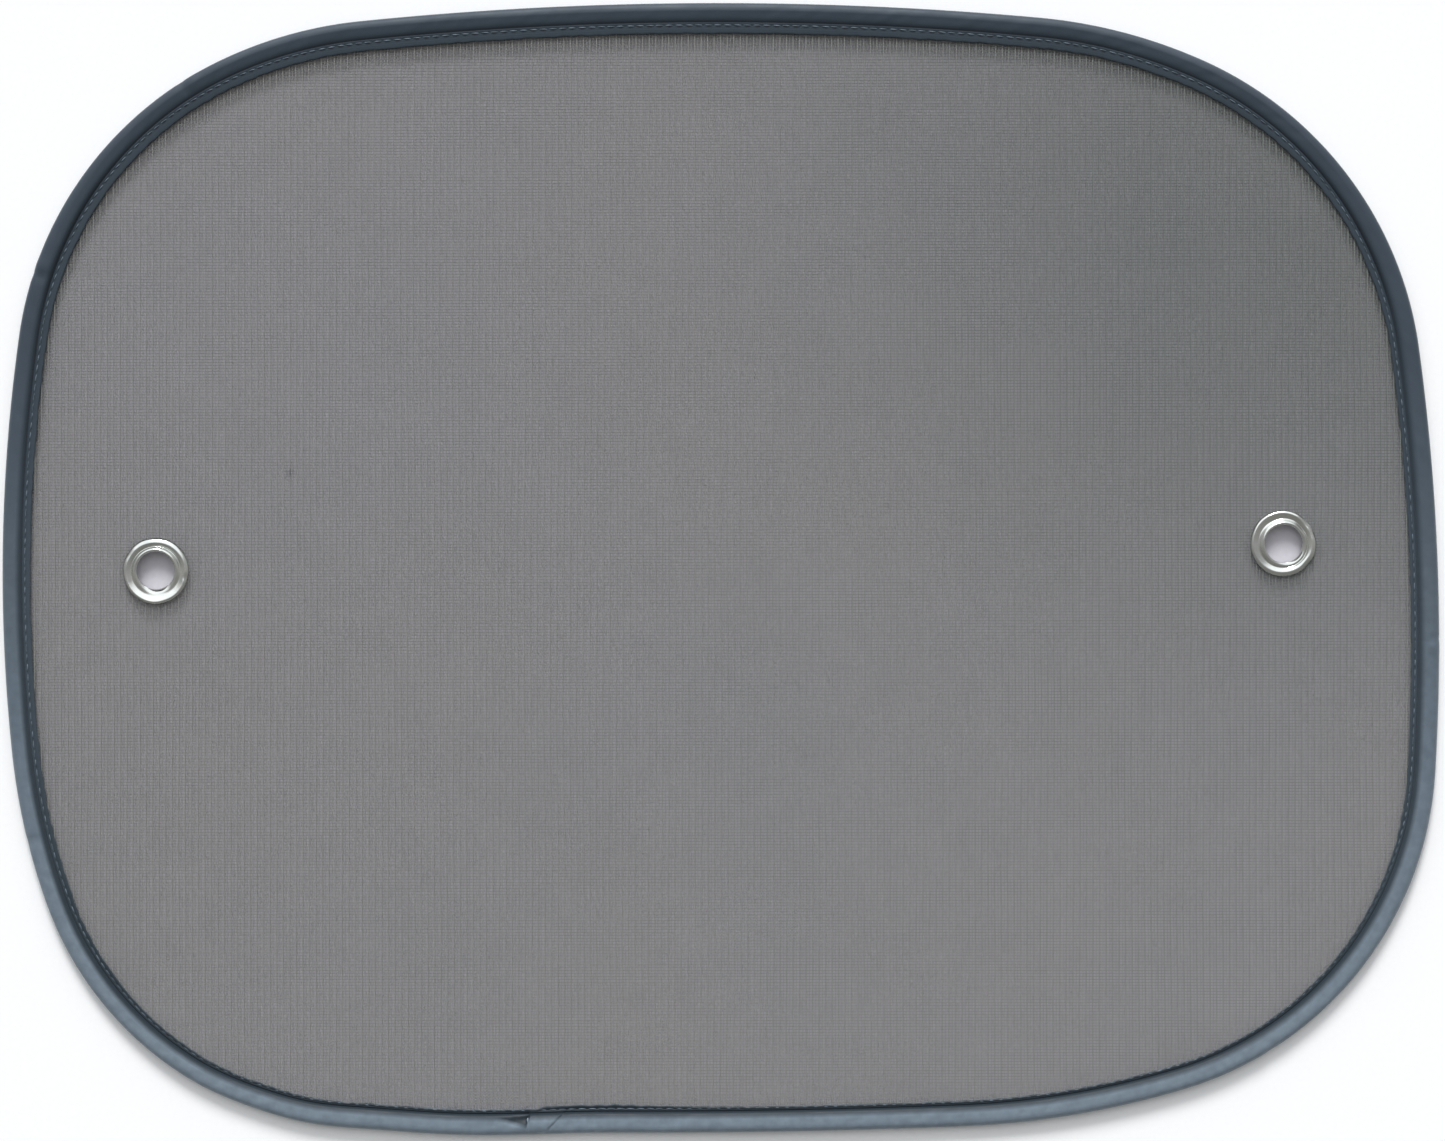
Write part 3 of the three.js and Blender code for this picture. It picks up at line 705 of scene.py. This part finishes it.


# %% [markdown]
# The tape is a plain polyester ribbon. Its close cross ribs give it a soft satin shine along the
# fold, so its roughness is lower than the mesh's. The colour is a slate blue, and a painted sheen
# pales it from the top of the shade to the bottom. Painted highlights lighten the weave's ribs. The
# hem and the groove are darker.

# %% Tape and thread


def tape_finish():
    material, tree = blank("woven_ribbon_polyester")
    ribbon = node(tree, "UVMap", uv_map="weave").outputs["UV"]
    parts = node(tree, "SeparateXYZ", {0: ribbon})
    cross_ribs = ripple(tree, parts.outputs["X"], 0.36)
    ends = ripple(tree, parts.outputs["Y"], 0.3)
    weave = node(tree, "Math", {0: cross_ribs, 1: ends}, operation="MULTIPLY").outputs[0]
    blue = blend(tree, between(tree, spots(tree, 25, 2), 0, 1), "#2d3843", "#323e49")
    # Painted sheen: the blue is made paler from the top of the shade toward the bottom.
    place = node(tree, "SeparateXYZ", {0: node(tree, "TexCoord").outputs["Object"]})
    inputs = {"Value": place.outputs["Y"], "From Min": 0.1, "From Max": -0.172}
    painted_sheen = node(tree, "MapRange", inputs, interpolation_type="SMOOTHSTEP").outputs["Result"]
    blue = blend(tree, painted_sheen, blue, "#7b8995")
    blue = blend(tree, between(tree, spots(tree, 2.5, 3), 0, 0.25), blue, "#35414c")
    # Painted highlight: the weave's raised ribs are made a lighter blue.
    painted_weave_highlight = node(tree, "Math", {0: weave, 1: 0.15}, operation="MULTIPLY").outputs[0]
    blue = blend(tree, painted_weave_highlight, blue, "#5a6876")
    # The hem and the groove are made darker, the more so toward the bottom of the shade.
    inputs = {"Value": parts.outputs["Y"], "From Min": 4.3 * MM, "From Max": 5.6 * MM}
    inputs |= {"To Min": 1.0, "To Max": 0.0}
    folded_in = node(tree, "MapRange", inputs).outputs["Result"]
    strength = node(tree, "Math", {0: painted_sheen, 1: 0.6, 2: 0.4}, operation="MULTIPLY_ADD").outputs[0]
    folded_in = node(tree, "Math", {0: folded_in, 1: strength}, operation="MULTIPLY").outputs[0]
    blue = blend(tree, folded_in, blue, "#1b2730")
    rough = between(tree, spots(tree, 6, 2), 0.48, 0.58)
    normal = raised(tree, weave, 0.03, 0.6)
    finish_with(
        tree,
        Base_Color=blue,
        Roughness=rough,
        Specular_IOR_Level=0.35,
        Sheen_Weight=0.25,
        Sheen_Roughness=0.4,
        Normal=normal,
    )
    return material


def thread_finish():
    material, tree = blank("spun_polyester_thread")
    place = node(tree, "TexCoord").outputs["Object"]
    twist = node(tree, "TexWave", {"Vector": place, "Scale": 0.05 / (0.3 * MM)}, bands_direction="DIAGONAL")
    blue = blend(tree, twist.outputs["Fac"], "#35424d", "#596773")
    normal = raised(tree, twist.outputs["Fac"], 0.04, 0.6)
    finish_with(tree, Base_Color=blue, Roughness=0.5, Sheen_Weight=0.2, Normal=normal)
    return material


# %% [markdown]
# The eyelets are steel with bright nickel plate: nearly a mirror, faintly warm, with fine pressing
# lines and a haze of handling that break the reflections. The hidden wire is drawn spring steel,
# darker and a little oily, with streaks that run along it.

# %% Metals


def plating_finish():
    material, tree = blank("bright_nickel_plate")
    haze = between(tree, spots(tree, 2.2, 4), 0.1, 0.22)
    tone = blend(tree, between(tree, spots(tree, 5, 2), 0, 1), "#dfe0da", "#cfd2cf")
    waver = raised(tree, spots(tree, 1.6, 2), 0.03, 0.5)
    finish_with(tree, Base_Color=tone, Metallic=1.0, Roughness=haze, Normal=waver)
    return material


def spring_finish():
    material, tree = blank("drawn_spring_steel")
    streaks = spots(tree, 1.2, 4)
    tone = blend(tree, between(tree, streaks, 0, 1), "#85898d", "#5f6468")
    rough = between(tree, streaks, 0.28, 0.45)
    normal = raised(tree, streaks, 0.01, 0.4)
    finish_with(tree, Base_Color=tone, Metallic=1.0, Roughness=rough, Normal=normal)
    return material


def give(finish, *pieces):
    """Makes the finish the only material of each piece."""
    for piece in pieces:
        piece.data.materials.clear()
        piece.data.materials.append(finish)


plating = plating_finish()
thread = thread_finish()
give(knit_finish(), panel)
give(tape_finish(), tape)
give(thread, front_seam, back_seam)
give(plating, *rings_made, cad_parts["left_washer"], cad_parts["right_washer"])
give(spring_finish(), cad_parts["hoop_wire"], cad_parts["wire_sleeve"])
print("finishes:", sorted(m.name for m in bpy.data.materials if m.users))

# %% [markdown]
# ## The place where it lies
#
# The shade lies on a plain surface, and the mesh's own shadow on it is what makes the panel look
# grey. Through the eyelets that surface is a pale lilac grey, while round the shade it is shown plain
# white, so the two tones meet out of sight under the tape. The light is a broad window beyond the
# top edge, low enough to throw the binding's shadow in under the mesh, with pale walls to fill it in.

# %% Floor, light and camera


def floor_finish(name, first, second):
    """A matt surface whose tone drifts between two close colours."""
    material, tree = blank(name)
    tone = blend(tree, between(tree, spots(tree, 1.5, 3), 0, 1), first, second)
    finish_with(tree, Base_Color=tone, Roughness=0.9, Specular_IOR_Level=0.2)
    return material


FLOOR = 4.0  # radius in metres
MEETING_INSET = 4.0  # where the two tones meet, in mm inside the rim
SPOKES = 360
spot, inward = rim(np.linspace(0, RIM_LENGTH, SPOKES, endpoint=False))
near = (spot + inward * MEETING_INSET) * MM
far = near / np.linalg.norm(near, axis=1)[:, None] * FLOOR
corners = [(x, y, 0) for x, y in np.concatenate([near, far]).tolist()]
outside = [(k, SPOKES + k, SPOKES + (k + 1) % SPOKES, (k + 1) % SPOKES) for k in range(SPOKES)]
floor_mesh = bpy.data.meshes.new("floor")
floor_mesh.from_pydata(corners, [], [*outside, list(range(SPOKES - 1, -1, -1))])
floor = bpy.data.objects.new("floor", floor_mesh)
bpy.context.scene.collection.objects.link(floor)
floor_mesh.materials.append(floor_finish("matt_white_surface", "#ffffff", "#fdfdfe"))
floor_mesh.materials.append(floor_finish("matt_lilac_grey_surface", "#c9c6cd", "#c4c1c8"))
floor_mesh.polygons[SPOKES].material_index = 1
if floor_mesh.polygons[SPOKES].normal.z < 0:
    floor_mesh.flip_normals()

sun_data = bpy.data.lights.new("window", "SUN")
sun_data.energy = 2.5
sun_data.angle = math.radians(18)
sun = bpy.data.objects.new("window", sun_data)
sun.rotation_euler = (math.radians(-60), 0, math.radians(4))
bpy.context.scene.collection.objects.link(sun)

world = bpy.data.worlds.new("room")
bpy.context.scene.world = world
world.use_nodes = True
tree = world.node_tree
tree.nodes.clear()
direction = node(tree, "TexCoord").outputs["Generated"]
parts = node(tree, "SeparateXYZ", {0: direction})
inputs = {"Value": parts.outputs["Y"], "From Min": -0.7, "From Max": 0.6}
room = node(tree, "MapRange", inputs, interpolation_type="SMOOTHSTEP")
inputs = {0: room.outputs[0], 6: (0.24, 0.24, 0.23, 1), 7: (0.44, 0.44, 0.45, 1)}
walls = node(tree, "Mix", inputs, data_type="RGBA")
toward = node(tree, "VectorMath", {0: direction, 1: (-0.1, 0.8, 0.6)}, operation="DOT_PRODUCT")
inputs = {"Value": toward.outputs["Value"], "From Min": 0.62, "From Max": 0.85}
pane = node(tree, "MapRange", inputs, interpolation_type="SMOOTHSTEP")
inputs = {0: pane.outputs[0], 6: walls.outputs[2], 7: (1.35, 1.4, 1.45, 1)}
walls = node(tree, "Mix", inputs, data_type="RGBA")
seen = node(tree, "LightPath").outputs["Is Camera Ray"]
shown = node(tree, "Mix", {0: seen, 6: walls.outputs[2], 7: (1, 1, 1, 1)}, data_type="RGBA")
background = node(tree, "Background", {"Color": shown.outputs[2], "Strength": 1.0})
node(tree, "OutputWorld", {"Surface": background.outputs[0]})

FRAME_WIDTH, DISTANCE, SENSOR = 442.6, 1000.0, 36.0
camera_data = bpy.data.cameras.new("camera")
camera_data.sensor_width = SENSOR
camera_data.lens = SENSOR * DISTANCE / FRAME_WIDTH
camera = bpy.data.objects.new("camera", camera_data)
camera.location = (0.5 * MM, -0.8 * MM, (DISTANCE + MID) * MM)
bpy.context.scene.collection.objects.link(camera)
bpy.context.scene.camera = camera
bpy.context.scene.view_settings.view_transform = "Standard"
